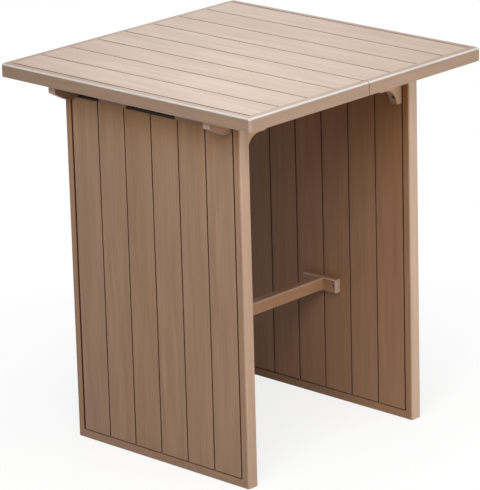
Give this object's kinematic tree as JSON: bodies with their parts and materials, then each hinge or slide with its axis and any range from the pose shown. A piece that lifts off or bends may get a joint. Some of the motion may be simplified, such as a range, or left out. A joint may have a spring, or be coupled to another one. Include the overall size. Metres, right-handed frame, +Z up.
{
  "type": "outdoor bar table",
  "caption": "Square bar-height outdoor table: flush slatted top in a rounded tube frame, carried on slatted leg panels by cross beams and curved braces, with a low stretcher between the panels.",
  "frame": {"origin": "on the floor, under the middle of the top", "axes": "+Z up; +X along the top's slats, towards the open front; +Y from the left leg panel to the right one"},
  "size_m": [0.914, 0.914, 1.067],
  "materials": {
    "top_slat_coat": "wood-grain powder coat on aluminium, satin, fine brown grain along each piece",
    "top_frame_coat": "wood-grain powder coat on aluminium, satin, fine brown grain along each piece",
    "panel_coat": "wood-grain powder coat on aluminium, satin, fine brown grain along each piece",
    "support_coat": "wood-grain powder coat on aluminium, satin, fine brown grain along each piece",
    "dark_bar": "matt black coat on aluminium",
    "bare_sleeve": "mill finish",
    "fastener_steel": "stainless, dull",
    "glide_nylon": "black nylon"
  },
  "bodies": {
    "root": {"batten_left_front": "support_coat", "batten_left_rear": "support_coat", "batten_right_front": "support_coat", "batten_right_rear": "support_coat", "beam_end_caps_front": "support_coat", "beam_end_caps_rear": "support_coat", "brace_left_front": "support_coat", "brace_left_rear": "support_coat", "brace_right_front": "support_coat", "brace_right_rear": "support_coat", "brace_screws": "fastener_steel", "frame_joint_sleeves": "bare_sleeve", "left_bottom_rail": "panel_coat", "left_foot_glides": "glide_nylon", "left_slat_1": "panel_coat", "left_slat_2": "panel_coat", "left_slat_3": "panel_coat", "left_slat_4": "panel_coat", "left_slat_5": "panel_coat", "left_slat_6": "panel_coat", "left_stile_front": "panel_coat", "left_stile_rear": "panel_coat", "left_top_bar": "dark_bar", "right_bottom_rail": "panel_coat", "right_foot_glides": "glide_nylon", "right_slat_1": "panel_coat", "right_slat_2": "panel_coat", "right_slat_3": "panel_coat", "right_slat_4": "panel_coat", "right_slat_5": "panel_coat", "right_slat_6": "panel_coat", "right_stile_front": "panel_coat", "right_stile_rear": "panel_coat", "right_top_bar": "dark_bar", "riser_left_front": "support_coat", "riser_left_rear": "support_coat", "riser_right_front": "support_coat", "riser_right_rear": "support_coat", "stretcher": "support_coat", "stretcher_bolts": "fastener_steel", "stretcher_tee_left": "support_coat", "stretcher_tee_right": "support_coat", "support_beam_front": "support_coat", "support_beam_rear": "support_coat", "top_bolts": "fastener_steel", "top_frame_left": "top_frame_coat", "top_frame_right": "top_frame_coat", "top_slat_1": "top_slat_coat", "top_slat_2": "top_slat_coat", "top_slat_3": "top_slat_coat", "top_slat_4": "top_slat_coat", "top_slat_5": "top_slat_coat", "top_slat_6": "top_slat_coat", "top_slat_7": "top_slat_coat", "top_slat_8": "top_slat_coat"}
  },
  "joints": []
}
